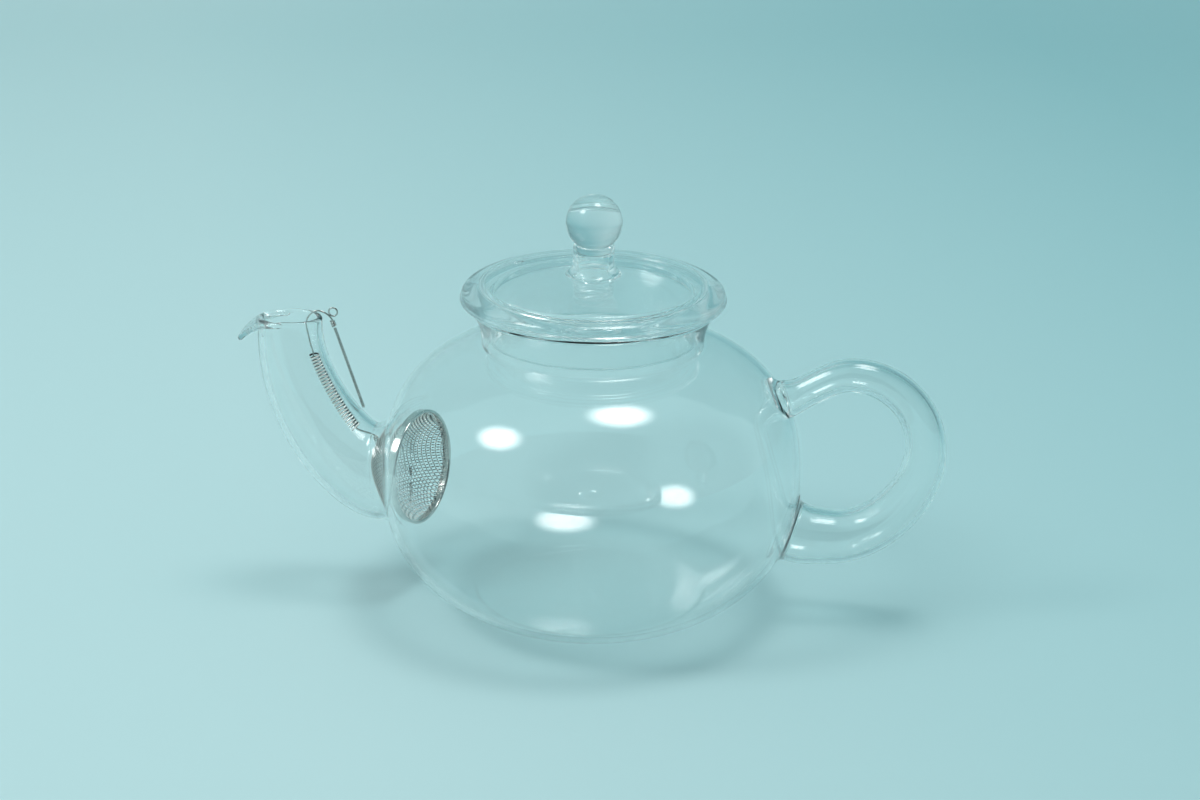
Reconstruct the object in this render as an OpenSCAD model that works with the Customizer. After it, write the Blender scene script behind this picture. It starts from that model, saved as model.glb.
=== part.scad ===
// Blown glass teapot with a lift-off lid and a spring-held wire strainer in its spout.
// Frame: Z up, the origin on the bowl's axis at the table, the spout towards -X and the handle towards +X.
// Every glass part is a wall of even thickness, so inner shapes are the outer ones less that wall.

/* [Bowl] */
// Outer diameter of the bowl at its belly
bowl_d = 145; // [138:1:160]
// Height of the belly above the table
belly_z = 46.4; // [44:0.2:50]
// Diameter of the flat base
base_d = 78; // [66:1:84]
// Thickness of the base
base_t = 2.6; // [2:0.1:4]
// Thickness of the bowl's and the spout's wall
glass_t = 2; // [1.6:0.1:2.4]
// Fullness of the bowl below the belly, where 2 is an ellipse
lower_round = 2.28; // [2.1:0.02:2.6]
// Fullness of the bowl's shoulder, where 2 is an ellipse
upper_round = 2.64; // [2.3:0.02:2.9]
// Outer diameter of the neck, the narrowest place below the mouth
neck_d = 76.2; // [72:0.2:84]
// Height of the neck above the table
neck_z = 95.5; // [92:0.5:102]
// Outer diameter of the mouth's lip
mouth_d = 86; // [80:0.5:92]
// Height of the mouth's lip above the neck
mouth_h = 13.6; // [10:0.2:18]

/* [Lid] */
// Overhang of the lid's rim past the mouth's lip
lid_overhang = 2.4; // [1:0.1:4]
// Rise of the lid's dome above its seat ring
dome_h = 7.7; // [6:0.1:12]
// Thickness of the lid's glass
lid_t = 1.8; // [1.4:0.1:2.2]
// Gap between the lid's skirt and the inside of the neck
skirt_gap = 0.8; // [0.4:0.1:1.5]
// Length of the skirt that hangs into the neck
skirt_h = 13; // [8:0.5:18]
// Gap between the resting lid and the mouth's lip
seat_gap = 0.3; // [0.1:0.05:0.5]
// Diameter of the steam hole
steam_d = 3.2; // [2:0.1:5]
// Distance of the steam hole from the lid's axis
steam_r = 31; // [24:0.5:35]
// Direction of the steam hole, counted from the handle
steam_angle = 153; // [0:1:359]

/* [Knob] */
// Diameter of the solid glass ball
knob_d = 19.2; // [14:0.2:24]
// Outer diameter of the hollow stem below the ball
stem_d = 14; // [11:0.2:16]
// Height of the stem from the dome to the ring
stem_h = 7.4; // [5:0.2:12]
// Thickness of the ring between the stem and the ball
knob_ring_t = 2.9; // [1.5:0.1:4]

/* [Spout] */
// Height of the spout's root above the table
spout_z = 43.4; // [40:0.2:48]
// Outer diameter of the spout at its root
spout_root_d = 34; // [32:0.2:38]
// Outer width of the spout just below its lip, seen from the side
spout_tip_w = 22.4; // [20:0.2:26]
// Outer breadth of the spout at its lip, seen from the front
spout_tip_b = 17.6; // [15:0.2:22]
// Distance of the spout's mouth from the bowl's side
spout_reach = 33; // [30:0.5:38]
// Height of the spout's mouth above the table
spout_top_z = 97.3; // [90:0.5:104]
// Radius of the fillet where the spout leaves the bowl
root_fillet = 6; // [5:0.5:8]
// Droop of the spout's root below the horizontal
root_droop = 4.5; // [3:0.5:6]
// How far the pouring lip stands out
lip_out = 7.6; // [5:0.2:10]
// How far the pouring lip droops below the mouth
lip_drop = 7; // [3:0.2:9]

/* [Handle] */
// Outer diameter of the handle's tube at the top
handle_top_d = 10.8; // [9:0.2:12]
// Outer diameter of the handle's tube at its lower root
handle_low_d = 21.2; // [16:0.2:24]
// Thickness of the handle's tube
handle_t = 1.8; // [1.2:0.1:2.2]
// Height of the upper root on the bowl
upper_root_z = 77.6; // [72:0.2:80]
// Height of the lower root on the bowl
lower_root_z = 29.8; // [28:0.2:34]
// Height of the centre of the handle's tube at its top
handle_top_z = 88; // [84:0.5:94]
// Distance of the centre of the handle's tube from the bowl's side, at its widest
handle_reach = 42.4; // [38:0.2:48]
// Height of the centre of the handle's tube at its bottom
handle_low_z = 28.4; // [26:0.2:30]
// Length of the collars between the bowl and the handle
collar_len = 2.6; // [2:0.1:4]

/* [Strainer] */
// Outer diameter of the strainer's rolled rim
rim_d = 40.4; // [38:0.2:41]
// Width of the rim's band along the strainer's axis
rim_w = 2.4; // [1.6:0.1:3.2]
// Thickness of the rim's band
rim_t = 0.9; // [0.7:0.05:1.2]
// Depth of the wire dome
cup_depth = 18.2; // [16:0.2:20]
// Distance of the rim's centre from the spout's seam, into the bowl
cup_seat = 14.7; // [14.6:0.1:18]
// Distance of the rim's centre behind the spout's middle plane
cup_side = 2; // [1:0.1:2.4]
// Height of the rim's centre above the middle of the spout's seam
cup_lift = 1.6; // [1:0.1:2.4]
// Turn of the strainer in its seat, away from the spout's axis
cup_turn = 18; // [12:1:19]
// Droop of the strainer's tip
cup_droop = 2; // [0:0.5:4]
// Diameter of the woven wires
mesh_wire_d = 0.36; // [0.3:0.02:0.42]
// Pitch of the woven wires
mesh_pitch = 1.5; // [1.3:0.1:2]

/* [Spring and hook] */
// Diameter of the hook's and the link's wire
wire_d = 0.6; // [0.5:0.05:0.7]
// Outer diameter of the coil spring
spring_d = 3.9; // [3.4:0.1:4.2]
// Diameter of the spring's wire
spring_wire_d = 0.62; // [0.5:0.02:0.64]
// Number of turns of the spring
spring_turns = 40; // [30:1:42]
// Distance of the hook and the spring behind the spout's middle plane
hook_y = 4.5; // [4:0.1:5]
// Outer diameter of the finger ring
finger_ring_d = 3.6; // [3:0.1:5]
// Length of the hook's tail outside the spout
tail_len = 29.5; // [24:0.5:30]

/* [Hidden] */

revolve_fn = 120; // facets of the large revolved parts in a quick view
small_fn = 48; // facets of the small round parts in a quick view
profile_step = 4; // degrees between the points of a curved profile

glass = [0.78, 0.92, 0.94, 0.5];
steel = [0.72, 0.72, 0.7];

// ---- Bowl: derived sizes
bowl_r = bowl_d / 2;
neck_r = neck_d / 2;
mouth_r = mouth_d / 2;
mouth_z = neck_z + mouth_h;
mouth_flare = 2.2; // how late the mouth's wall turns outwards
lower_h = belly_z / pow(1 - pow(base_d / bowl_d, lower_round), 1 / lower_round);
upper_h = (neck_z - belly_z) / pow(1 - pow(neck_d / bowl_d, upper_round), 1 / upper_round);

// Radius of the bowl at height z, on the surface that lies inset below the outer one
function bowl_radius(z, inset = 0) = let(
    below = z < belly_z,
    h = (below ? lower_h : upper_h) - inset,
    p = below ? lower_round : upper_round)
    (bowl_r - inset) * pow(1 - pow(min(1, abs(z - belly_z) / h), p), 1 / p);

// Angle of the bowl's outward normal above the horizontal, at height z
function bowl_slope(z) = let(
    below = z < belly_z,
    h = below ? lower_h : upper_h,
    p = below ? lower_round : upper_round,
    rise = pow(abs(z - belly_z) / h, p - 1) / h,
    run = pow(bowl_radius(z) / bowl_r, p - 1) / bowl_r)
    (below ? -1 : 1) * atan2(rise, run);

// Height of the inset surface where it meets the inside of the neck
function neck_inner_z(inset) = belly_z + (upper_h - inset)
    * pow(1 - pow((neck_r - inset) / (bowl_r - inset), upper_round), 1 / upper_round);

// Points [radius, z] of the wall from the base to the neck
function wall_points(inset, z_low, z_high) = let(
    low_a = asin((belly_z - z_low) / (lower_h - inset)),
    high_a = asin((z_high - belly_z) / (upper_h - inset)),
    steps = ceil((low_a + high_a) / profile_step))
    [for (i = [0 : steps]) let(a = -low_a + (low_a + high_a) * i / steps,
        z = belly_z + sin(a) * ((a < 0 ? lower_h : upper_h) - inset)) [bowl_radius(z, inset), z]];

// Points of the flared mouth from just above the neck to the lip
function mouth_points(inset) = let(steps = 9)
    [for (i = [1 : steps]) let(s = i / steps)
        [neck_r - inset + (mouth_r - neck_r) * pow(s, mouth_flare), neck_z + mouth_h * s]];

// ---- Spout: derived sizes
root_r = spout_root_d / 2;
fillet_r = root_r + root_fillet;
fillet_s = sqrt(pow(bowl_r + root_fillet, 2) - pow(fillet_r, 2));
seam_land = 0.4; // straight stretch of the root before its seam
seam_s = fillet_s + seam_land;
fillet_end = 55; // angle at which the fillet runs straight into the bowl's wall
fillet_tail = 5;
root_dir = [-cos(root_droop), -sin(root_droop)];
root_axis_z = spout_z + seam_s * sin(root_droop); // where the root's axis crosses the bowl's axis
seam_centre = [0, root_axis_z] + seam_s * root_dir;
root_up = [root_dir[1], -root_dir[0]]; // in the seam's plane
spout_mouth = [-bowl_r - spout_reach, spout_top_z];
half_mouth = [spout_tip_w / 2, 0];
mouth_near = spout_mouth + half_mouth;
mouth_far = spout_mouth - half_mouth;
near_root_pull = 2; // pulls of the guide curves at the root and at the mouth
far_root_pull = 16;
near_mouth_pull = [1.1, 18.3];
far_mouth_pull = [3, 40.3];
// Guide curves of the spout's outline, towards the bowl and away from it
spout_near = [seam_centre + root_r * root_up, seam_centre + root_r * root_up + near_root_pull * root_dir,
    mouth_near - near_mouth_pull, mouth_near];
spout_far = [seam_centre - root_r * root_up, seam_centre - root_r * root_up + far_root_pull * root_dir,
    mouth_far - far_mouth_pull, mouth_far];
spout_rings = 18;
lip_rings = 7;
spout_sides = 28;
spout_taper = 1.12; // above 1 the taper starts softly at the root
oval_start = 0.65; // where along the spout its section starts to turn oval
lip_rise = 0.9; // how far the fire-polished edge rises above the mouth's plane
lip_narrow = 1.6; // the higher, the narrower the pouring lip

// ---- Handle: derived sizes
upper_tilt = 20; // direction in which the tube leaves the upper root, above the horizontal
lower_tilt = bowl_slope(lower_root_z);
upper_dir = [cos(upper_tilt), sin(upper_tilt)];
lower_dir = [cos(lower_tilt), sin(lower_tilt)];
upper_seam = [bowl_radius(upper_root_z), upper_root_z] + collar_len * upper_dir;
lower_seam = [bowl_radius(lower_root_z), lower_root_z] + collar_len * 0.6 * lower_dir;
handle_top = [bowl_r + 17, handle_top_z]; // where the tube passes its highest point
handle_low = [bowl_r + 11.5, handle_low_z]; // where the tube passes its lowest point
handle_side = [bowl_r + handle_reach, 62]; // where the tube passes its widest point
top_pulls = [7, 8, 14, 14.3]; // pulls of the tube's curve from the upper root to its side
low_pulls = [17, 14.5, 4, 4]; // and from its side to the lower root
handle_curves = [
    [upper_seam, upper_seam + top_pulls[0] * upper_dir, handle_top - [top_pulls[1], 0], handle_top],
    [handle_top, handle_top + [top_pulls[2], 0], handle_side + [0, top_pulls[3]], handle_side],
    [handle_side, handle_side - [0, low_pulls[0]], handle_low + [low_pulls[1], 0], handle_low],
    [handle_low, handle_low - [low_pulls[2], 0], lower_seam + low_pulls[3] * lower_dir, lower_seam]];
collar_flare = 2.6; // widening of a collar at the bowl
collar_depth = 14; // length from which a collar is cut back to the bowl
collar_land = 0.5; // straight stretch of a collar at its seam
handle_steps = [5, 8, 9, 4];
handle_sides = 18;
handle_growth = 1.6; // how late the tube widens towards its lower root
root_flare = 1.1; // widening of the tube at its upper seam
root_flare_share = 0.07; // share of the tube's length over which it widens there

// ---- Lid: derived sizes
lid_r = mouth_r + lid_overhang;
lip_top_z = mouth_z + glass_t / 2;
seat_z = lip_top_z + seat_gap;
dome_z = seat_z + lid_t;
dome_inset = 0.4; // step between the seat ring's edge and the dome
dome_r = lid_r - dome_inset;
skirt_r = neck_r - glass_t - skirt_gap;
knob_r = knob_d / 2;
stem_r = stem_d / 2;
ring_z = dome_z + dome_h + stem_h;
knob_flat_z = ring_z + knob_ring_t;
knob_flat_r = stem_r - 1;
knob_z = knob_flat_z + sqrt(pow(knob_r, 2) - pow(knob_flat_r, 2));

// ---- Strainer: derived sizes
rim_r = rim_d / 2;
mesh_r = rim_r - rim_t - 0.15;
dome_p = 1.3; // with dome_q, between a cone and a half ball
dome_q = 0.7;
cup_centre = [cup_seat - seam_s, cup_side, spout_z + cup_lift];
cap_up = mesh_pitch * 4; // distance of the cap above the dome's tip
mesh_steps = 7;
mesh_reach = 0.94; // share of the dome's radius that the outermost wire reaches
mesh_lap = 0.06; // air between crossing wires

// Depth of the wire dome below its rim plane, at distance rho from its axis
function dome_depth(rho) = cup_depth * pow(1 - pow(min(1, rho / mesh_r), 1 / dome_q), 1 / dome_p);

// Point on the dome above [x, y], moved along the outward normal by lift
function dome_point(x, y, lift) = let(
    e = 0.02,
    rho = norm([x, y]),
    slope = (dome_depth(rho + e) - dome_depth(max(0, rho - e))) / (rho > e ? 2 * e : rho + e),
    u = rho > 0.001 ? [x, y] / rho : [0, 0],
    n = [-slope * u.x, -slope * u.y, 1] / norm([slope * (rho > 0.001 ? 1 : 0), 1]))
    [x, y, dome_depth(rho)] + lift * n;

// Point of the strainer's own frame, in the pot's frame
function cup_to_pot(p) = let(
    el = -cup_droop,
    a = [p.x * sin(el) - p.z * cos(el), p.y, p.x * cos(el) + p.z * sin(el)])
    cup_centre + [a.x * cos(cup_turn) + a.y * sin(cup_turn), -a.x * sin(cup_turn) + a.y * cos(cup_turn), a.z];

module in_cup() translate(cup_centre) rotate([0, 0, -cup_turn]) rotate([0, -90 - cup_droop, 0]) children();

// ---- Spring and hook: derived sizes
spring_r = (spring_d - spring_wire_d) / 2;
spring_top = mouth_near + [-3.9, -13.3];
spring_low = seam_centre + [-8.8, 14.2];
spring_path = [spring_top, spring_top + [2.7, -8.5], spring_low + [-5.5, 6.4], spring_low];
spring_per_turn = 8;
wrap_turns = 3;
hook_corner = mouth_near + [2.3, -0.1]; // where the wire turns down outside the lip
tail_dir = [0.32, -0.95] / norm([0.32, -0.95]);
wrap_start = hook_corner + 0.8 * tail_dir;
wrap_len = 2;
tail_start = hook_corner + 3.4 * tail_dir;
// Route of the hook's wire, from the spring's top over the lip to the corner
hook_route = concat([for (p = [[-0.4, -1.3], [-0.3, 0.2], [-0.6, 1.5]]) spring_top + p],
    [for (p = [[-5.1, -9.8], [-5.9, -6.3], [-6.6, -2.9], [-6.4, -0.9], [-5.4, 0.9], [-3.9, 2.2], [-2.1, 2.6],
        [-0.3, 2.1], [1.1, 1.2]]) mouth_near + p],
    [hook_corner, wrap_start, hook_corner + 3 * tail_dir]);

// ---- Helpers
function bezier(p, t) = pow(1 - t, 3) * p[0] + 3 * pow(1 - t, 2) * t * p[1]
    + 3 * (1 - t) * t * t * p[2] + pow(t, 3) * p[3];
function bezier_dir(p, t) = let(d = pow(1 - t, 2) * (p[1] - p[0]) + 2 * (1 - t) * t * (p[2] - p[1])
    + t * t * (p[3] - p[2])) d / norm(d);
function unit(v) = v / norm(v);
function flat_to_pot(p, y = 0) = [p[0], y, p[1]];

// Triangles between rings a and b of n points each, wound outwards when they run anticlockwise
function band(a, b, n) = [for (k = [0 : n - 1]) let(m = (k + 1) % n)
    each [[a + k, b + m, a + m], [a + k, b + k, b + m]]];

// Faces of a closed loop of rings: the last ring joins the first one
function loop_faces(rings, n) = [for (i = [0 : rings - 1]) each band(i * n, ((i + 1) % rings) * n, n)];

// Faces of a solid rod: bands between its rings and a fan on each end
function rod_faces(rings, n) = concat(
    [for (i = [0 : rings - 2]) each band(i * n, (i + 1) * n, n)],
    [[for (k = [0 : n - 1]) k]],
    [[for (k = [n - 1 : -1 : 0]) (rings - 1) * n + k]]);

// Direction of a route at its point i
function route_dir(route, i) = let(n = len(route) - 1)
    unit(route[min(n, i + 1)] - route[max(0, i - 1)]);

// Round wire along a route that lies in planes square to side
module wire(route, side, d, n = 8) {
    points = [for (i = [0 : len(route) - 1]) let(t = route_dir(route, i), up = unit(cross(side, t)))
        for (k = [0 : n - 1]) route[i] + d / 2 * (cos(360 * k / n) * up + sin(360 * k / n) * cross(t, up))];
    polyhedron(points, rod_faces(len(route), n), convexity = 6);
}

// Coil of wire around a route in a plane of even y: centres and directions come from a curve
module coil(curve, r, d, turns, y, per_turn, n = 5) {
    count = turns * per_turn;
    points = [for (i = [0 : count]) let(
        t = i / count,
        c = flat_to_pot(bezier(curve, t), y),
        axis = flat_to_pot(bezier_dir(curve, t)),
        side = [0, 1, 0],
        out = cos(360 * i / per_turn) * cross(side, axis) + sin(360 * i / per_turn) * side)
        for (k = [0 : n - 1]) c + (r + d / 2 * cos(360 * k / n)) * out - d / 2 * sin(360 * k / n) * axis];
    polyhedron(points, rod_faces(count + 1, n), convexity = 10);
}

module revolve(points, fn = revolve_fn) rotate_extrude($fn = fn) polygon(points);

// ---- Glass body
// Solid shape of the bowl's outside up to the neck, or of its inside when inset is the wall
module bowl_form(inset) {
    inner = inset > 0;
    z_low = inner ? base_t : 0;
    z_top = neck_z + (inner ? 1 : 0);
    revolve(concat([[0, z_low]], wall_points(inset, z_low, inner ? neck_inner_z(inset) : neck_z),
        inner ? [[neck_r - inset, neck_z], [neck_r - inset, z_top]] : [], [[0, z_top]]));
}

// Solid funnel of the spout's root: straight at the seam, then a fillet that runs into the bowl
module root_form(inset) {
    r = root_fillet + inset;
    tail = [fillet_r - r * cos(fillet_end), fillet_s - r * sin(fillet_end)]
        + fillet_tail * [sin(fillet_end), -cos(fillet_end)];
    top = seam_s + (inset > 0 ? 1 : 0);
    arc_step = fillet_end / 6;
    translate([0, 0, root_axis_z]) rotate([0, -90 - root_droop, 0])
        revolve(concat([[0, top], [root_r - inset, top]],
            [for (a = [0 : arc_step : fillet_end]) [fillet_r - r * cos(a), fillet_s - r * sin(a)]],
            [tail, [0, tail.y]]));
}

module bowl() {
    color(glass) difference() {
        union() {
            bowl_form(0);
            root_form(0);
        }
        bowl_form(glass_t);
        root_form(glass_t);
    }
}

// Flared mouth with its fire-polished lip, from the neck up
module mouth() {
    inner = mouth_points(glass_t);
    color(glass) revolve(concat([[neck_r - glass_t, neck_z], [neck_r, neck_z]], mouth_points(0),
        [for (a = [22.5 : 22.5 : 158]) [mouth_r - glass_t / 2 * (1 - cos(a)), mouth_z + glass_t / 2 * sin(a)]],
        [for (i = [len(inner) - 1 : -1 : 0]) inner[i]]));
}

// Middle of the spout's wall: u runs from the root to the mouth, then round the pouring lip, and a goes round
function spout_wall(i, a) = let(
    t = min(1, i / spout_rings),
    lip = max(0, i - spout_rings) / lip_rings,
    near = bezier(spout_near, t),
    far = bezier(spout_far, t),
    c = (near + far) / 2,
    d = unit(far - near),
    w = norm(far - near) / 2 - glass_t / 2,
    oval = pow(max(0, t - oval_start) / (1 - oval_start), 2),
    round_b = root_r + (spout_tip_w / 2 - root_r) * pow(t, spout_taper),
    b = round_b + (spout_tip_b / 2 - round_b) * oval - glass_t / 2,
    front = pow(max(0, cos(a)), lip_narrow),
    bend = 180 * lip,
    out = lip_out / 2 * (1 - cos(bend)) * front,
    up = (bend < 90 ? lip_rise * sin(bend) : lip_rise - (lip_rise + lip_drop) * (1 - sin(bend))) * front
        + lip_rise * lip * (1 - front))
    [c[0] + w * cos(a) * d[0] - out, b * sin(a), c[1] + w * cos(a) * d[1] + up];

// Outward normal of that wall; the first ring's lies in the seam's plane
function spout_normal(i, a) = let(
    e = 0.25,
    along = spout_wall(i + e, a) - spout_wall(max(0, i - e), a),
    around = spout_wall(i, a + 3) - spout_wall(i, a - 3))
    i == 0 ? [-cos(a) * root_dir[1], sin(a), cos(a) * root_dir[0]] : unit(cross(along, around));

module spout() {
    last = spout_rings + lip_rings;
    n = spout_sides;
    half = glass_t / 2;
    angles = [for (k = [0 : n - 1]) -360 * k / n];
    outer = [for (i = [0 : last]) for (a = angles) spout_wall(i, a) + half * spout_normal(i, a)];
    edge = [for (a = angles) spout_wall(last, a)
        + half * 0.8 * unit(spout_wall(last, a) - spout_wall(last - 0.5, a))];
    inner = [for (i = [last : -1 : 0]) for (a = angles) spout_wall(i, a) - half * spout_normal(i, a)];
    color(glass) polyhedron(concat(outer, edge, inner), loop_faces(2 * last + 3, n), convexity = 10);
}

// ---- Handle
handle_centres = [for (s = [0 : 3]) for (i = [(s == 0 ? 0 : 1) : handle_steps[s]])
    bezier(handle_curves[s], i / handle_steps[s])];
handle_dirs = [for (s = [0 : 3]) for (i = [(s == 0 ? 0 : 1) : handle_steps[s]])
    bezier_dir(handle_curves[s], i / handle_steps[s])];
handle_count = len(handle_centres);
function handle_radius(i) = let(u = i / (handle_count - 1))
    handle_top_d / 2 + (handle_low_d - handle_top_d) / 2 * pow(u, handle_growth)
    + root_flare * pow(max(0, 1 - u / root_flare_share), 2);

module handle() {
    n = handle_sides;
    function ring(i, r) = let(d = handle_dirs[i], out = [-d[1], 0, d[0]])
        [for (k = [0 : n - 1]) flat_to_pot(handle_centres[i])
            + r * (cos(360 * k / n) * out - sin(360 * k / n) * [0, 1, 0])];
    outer = [for (i = [0 : handle_count - 1]) each ring(i, handle_radius(i))];
    inner = [for (i = [handle_count - 1 : -1 : 0]) each ring(i, handle_radius(i) - handle_t)];
    color(glass) polyhedron(concat(outer, inner), loop_faces(2 * handle_count, n), convexity = 10);
}

// Short flared tube that joins the handle's end to the bowl
module collar(seam, tilt, r) {
    flare = collar_flare;
    depth = collar_depth;
    land = collar_land;
    color(glass) difference() {
        translate(flat_to_pot(seam)) rotate([0, 90 - tilt + 180, 0])
            revolve(concat([[r - handle_t, 0], [r, 0], [r, land]],
                [for (a = [15 : 15 : 75]) [r + flare * (1 - cos(a)), land + flare * sin(a)]],
                [[r + flare, land + flare], [r + flare, depth], [r - handle_t, depth]]), small_fn);
        bowl_form(0);
    }
}

module handle_upper_collar() collar(upper_seam, upper_tilt, handle_radius(0));
module handle_lower_collar() collar(lower_seam, lower_tilt, handle_radius(handle_count - 1));

// ---- Lid
// Solid half-ellipsoid of the lid's dome, or of its hollow when inset is the wall
module dome_form(inset) {
    revolve(concat([[0, dome_z]],
        [for (a = [0 : 5 : 90]) [(dome_r - inset) * cos(a), dome_z + (dome_h - inset) * sin(a)]]));
}

module lid_dome() {
    color(glass) difference() {
        dome_form(0);
        dome_form(lid_t);
        translate([0, 0, dome_z - 1]) cylinder(r = stem_r - lid_t, h = dome_h + 2, $fn = small_fn);
        rotate([0, 0, steam_angle]) translate([steam_r, 0, dome_z - 1])
            cylinder(d = steam_d, h = dome_h + 2, $fn = small_fn);
    }
}

module lid_seat_ring() {
    edge = lid_t / 2;
    color(glass) revolve(concat([[skirt_r - lid_t, seat_z]],
        [for (a = [-90 : 22.5 : 90]) [lid_r - edge + edge * cos(a), seat_z + edge + edge * sin(a)]],
        [[skirt_r - lid_t, dome_z]]));
}

module lid_skirt() {
    edge = lid_t / 2;
    color(glass) revolve(concat([[skirt_r, seat_z]],
        [for (a = [0 : 22.5 : 180]) [skirt_r - edge + edge * cos(a), seat_z - skirt_h + edge - edge * sin(a)]],
        [[skirt_r - lid_t, seat_z]]));
}

module lid_knob_stem() {
    foot = 1.4;
    foot_z = dome_z + dome_h - 2;
    color(glass) difference() {
        revolve(concat([[stem_r - lid_t, ring_z], [stem_r, ring_z]],
            [for (a = [0 : 15 : 90]) [stem_r + foot * (1 - cos(a)), foot_z + 4 - foot * sin(a)]],
            [[stem_r + foot, foot_z], [stem_r - lid_t, foot_z]]), small_fn);
        dome_form(0);
    }
}

module lid_knob_ring() {
    edge = knob_ring_t / 2;
    color(glass) revolve(concat([[0, ring_z]],
        [for (a = [-90 : 15 : 90]) [stem_r - 0.6 + 0.7 * cos(a), ring_z + edge + edge * sin(a)]],
        [[0, knob_flat_z]]), small_fn);
}

module lid_knob() {
    color(glass) difference() {
        translate([0, 0, knob_z]) sphere(r = knob_r, $fn = 96);
        translate([0, 0, knob_z - knob_r - 1]) cylinder(r = knob_r, h = knob_flat_z - knob_z + knob_r + 1,
            $fn = small_fn);
    }
}

// ---- Strainer
module strainer_rim() {
    roll = 0.6;
    color(steel) in_cup() rotate_extrude($fn = revolve_fn) union() {
        translate([rim_r - rim_t, -roll]) square([rim_t, rim_w]);
        translate([rim_r - rim_t / 2, -roll]) circle(d = rim_t + 0.3, $fn = small_fn);
    }
}

// Wires of the dome that run square to the first axis, on the outside or the inside of the weave
module dome_wires(outside) {
    lift = (outside ? 1 : -1) * (mesh_wire_d + mesh_lap) / 2;
    count = floor(mesh_r * mesh_reach / mesh_pitch);
    for (i = [-count : count]) {
        x = i * mesh_pitch;
        y_end = sqrt(pow(mesh_r - 0.5, 2) - x * x);
        route = [for (k = [-mesh_steps : mesh_steps]) let(y = y_end * sin(90 * k / mesh_steps))
            outside ? dome_point(x, y, lift) : dome_point(y, x, lift)];
        wire(route, outside ? [1, 0, 0] : [0, 1, 0], mesh_wire_d, 4);
    }
}

module strainer_warp() color(steel) in_cup() dome_wires(true);
module strainer_weft() color(steel) in_cup() dome_wires(false);

// Button on the outside of the dome with the eye that the link hooks into
cap_x = cap_up + mesh_pitch / 2;
cap_y = mesh_pitch / 2;
cap_base = dome_point(cap_x, cap_y, mesh_wire_d + 0.15);
cap_axis = unit(dome_point(cap_x, cap_y, 1) - dome_point(cap_x, cap_y, 0));
cap_t = 0.5;
eye_r = 0.95;
eye_rise = cap_t + eye_r + wire_d / 2 - 0.05;
eye_centre = cap_base + eye_rise * cap_axis;
eye_turn = atan2(cap_axis.y, cap_axis.x);

module strainer_cap() {
    color(steel) in_cup() translate(cap_base) rotate([0, acos(cap_axis.z), eye_turn]) {
        cylinder(d = 3, h = cap_t, $fn = small_fn);
        translate([0, 0, eye_rise]) rotate([90, 0, 0])
            rotate_extrude($fn = small_fn) translate([eye_r, 0]) circle(d = wire_d, $fn = 24);
    }
}

// Wire end that passes through the weave under the cap and hangs inside the dome
module strainer_anchor() {
    route = [dome_point(cap_x, cap_y, mesh_wire_d + 0.1), dome_point(cap_x, cap_y, -1.2),
        dome_point(cap_x, cap_y, -2.4) + [0.8, 0, -0.8], [cap_x + 1, cap_y, 9.6], [cap_x - 0.8, cap_y, 8.2],
        [cap_x - 4, cap_y, 7.6], [cap_x - 10, cap_y, 7.2]];
    color(steel) in_cup() wire(route, [0, 1, 0], wire_d);
}

// ---- Spring and hook
// Wire from inside the spring's last turns to a hook through the cap's eye
module link_wire() {
    eye = cup_to_pot(eye_centre);
    through = cup_to_pot(eye_centre + [-sin(eye_turn), cos(eye_turn), 0]) - eye;
    out = cup_to_pot(eye_centre + cap_axis) - eye;
    low = flat_to_pot(spring_low, hook_y);
    color(steel) wire([low + [-1.2, 0.7, 1.6], low + [-0.2, 0.3, 0], low + [1, 0.2, -1],
        eye + 0.85 * through + 1.7 * out, eye + 1.1 * through + 0.7 * out, eye + 0.6 * through,
        eye - 0.5 * through, eye - 1.05 * through + 0.5 * out, eye - 1.05 * through + 1.2 * out],
        cross(through, out), wire_d);
}

module coil_spring() color(steel)
    coil(spring_path, spring_r, spring_wire_d, spring_turns, hook_y, spring_per_turn);

module hook_wire() color(steel) wire([for (p = hook_route) flat_to_pot(p, hook_y)], [0, 1, 0], wire_d);

module hook_wrap() {
    end = wrap_start + wrap_len * tail_dir;
    curve = [wrap_start, wrap_start + (end - wrap_start) / 3, wrap_start + (end - wrap_start) * 2 / 3, end];
    color(steel) coil(curve, wire_d + 0.05, wire_d, wrap_turns, hook_y, 12, 6);
}

module finger_ring() {
    r = (finger_ring_d - wire_d) / 2;
    centre = hook_corner + [0.6, r + wire_d + 0.4];
    color(steel) translate(flat_to_pot(centre, hook_y)) rotate([90, 0, 0])
        rotate_extrude($fn = small_fn) translate([r, 0]) circle(d = wire_d, $fn = 24);
}

// Doubled wire that lies outside the spout: down, round a small bend and up again
module hook_tail() {
    gap = wire_d / 2 + 0.04;
    side = [tail_dir[1], -tail_dir[0]];
    end = tail_start + tail_len * tail_dir;
    route = concat([tail_start - gap * side], [for (a = [-90 : 30 : 90])
        end + gap * (sin(a) * side + cos(a) * tail_dir)], [tail_start + gap * side]);
    color(steel) wire([for (p = route) flat_to_pot(p, hook_y)], [0, 1, 0], wire_d);
}

bowl();
mouth();
spout();
handle();
handle_upper_collar();
handle_lower_collar();
lid_dome();
lid_seat_ring();
lid_skirt();
lid_knob_stem();
lid_knob_ring();
lid_knob();
strainer_rim();
strainer_warp();
strainer_weft();
strainer_cap();
strainer_anchor();
link_wire();
coil_spring();
hook_wire();
hook_wrap();
finger_ring();
hook_tail();
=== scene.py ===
# %% [markdown]
# # A blown glass teapot with a wire strainer in its spout
# The pot is nearly invisible: clear glass shows only at its edges, where light bends, and where lamps mirror in it.
# The metal is tiny by comparison, a woven cup, a coil spring and a hook of thin wire, so its detail has to be real.
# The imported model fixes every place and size. This script rebuilds the glass and the wire finely enough to look at.

# %% The frame
import math
from functools import partial

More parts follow.
